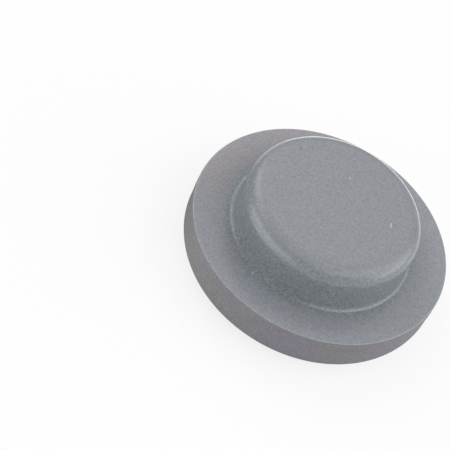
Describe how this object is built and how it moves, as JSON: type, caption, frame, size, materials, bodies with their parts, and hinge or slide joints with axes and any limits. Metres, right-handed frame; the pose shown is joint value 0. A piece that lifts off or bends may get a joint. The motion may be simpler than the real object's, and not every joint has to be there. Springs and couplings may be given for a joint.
{
  "type": "rubber stopper",
  "caption": "Grey rubber vial stopper: a round flange with a dished outer face and raised spacer dots, and a solid plug with a rounded end that seals a vial's neck.",
  "frame": {"origin": "centre of the part's base: on the stopper's axis, in the plane of the spacer dots' tips", "axes": "+Z along the stopper's axis, from the flange's outer face towards the end of the plug; the dots lie on X and Y"},
  "size_m": [0.019, 0.019, 0.0074],
  "materials": {
    "rubber": "matte moulded grey rubber with a faint sheen"
  },
  "bodies": {
    "root": {"stopper": "rubber"}
  },
  "joints": []
}
